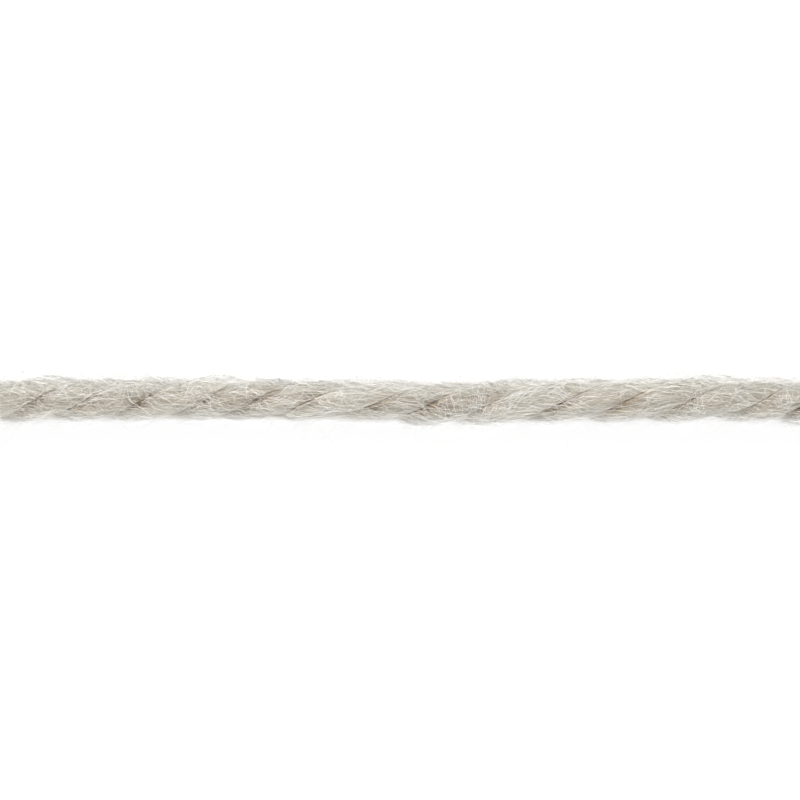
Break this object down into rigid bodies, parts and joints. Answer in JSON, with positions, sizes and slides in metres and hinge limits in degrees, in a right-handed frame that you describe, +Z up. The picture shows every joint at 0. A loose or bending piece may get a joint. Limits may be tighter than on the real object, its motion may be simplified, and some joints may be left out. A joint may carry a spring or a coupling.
{
  "type": "knitting yarn",
  "caption": "Straight cut length of plied wool knitting yarn, its soft singles twisted to the left, lying on a surface.",
  "frame": {"origin": "on the surface that the yarn lies on, under the middle of its length and width", "axes": "+X along the yarn, +Z up, +Y to the side that is at the top when the yarn is seen from above with +X to the right"},
  "size_m": [0.0632, 0.0037, 0.003],
  "materials": {
    "wool": "matte, fuzzy, undyed pale grey wool"
  },
  "bodies": {
    "root": {"ply_1": "wool", "ply_2": "wool", "ply_3": "wool"}
  },
  "joints": []
}
